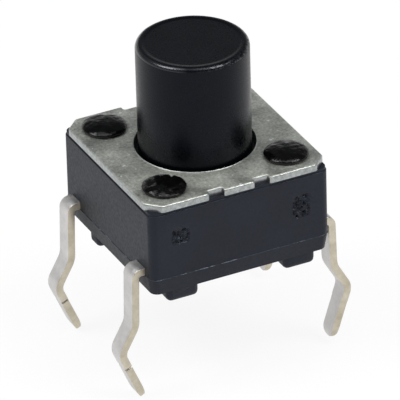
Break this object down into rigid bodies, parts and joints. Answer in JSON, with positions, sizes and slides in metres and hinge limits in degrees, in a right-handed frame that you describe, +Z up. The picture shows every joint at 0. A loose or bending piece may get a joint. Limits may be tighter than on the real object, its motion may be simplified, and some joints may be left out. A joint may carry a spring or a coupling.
{
  "type": "tactile push button switch",
  "caption": "Square through-hole tactile switch with a round push button, a riveted steel cover and kinked leads for a circuit board.",
  "frame": {"origin": "centre of the four leads on the circuit board's surface, where the feet stand", "axes": "+Z up through the button, +X and -X the sides that the leads leave from"},
  "size_m": [0.008, 0.006, 0.0104],
  "materials": {
    "housing_plastic": "satin moulded",
    "cover_steel": "tin-plated sheet",
    "button_plastic": "satin moulded",
    "dome_steel": "bright rolled",
    "tinned_brass": "tin-plated"
  },
  "bodies": {
    "switch_body": {"housing": "housing_plastic", "cover_plate": "cover_steel", "snap_dome": "dome_steel", "terminal_centre_contact": "tinned_brass", "terminal_rim_contact": "tinned_brass"},
    "button": {"plunger": "button_plastic"}
  },
  "joints": [
    {"name": "button_press", "type": "slide", "parent": "switch_body", "child": "button", "axis": [0, 0, -1], "range_m": [0, 0.00025], "stiffness_N_per_m": 6400, "deforming": ["snap_dome"]}
  ]
}
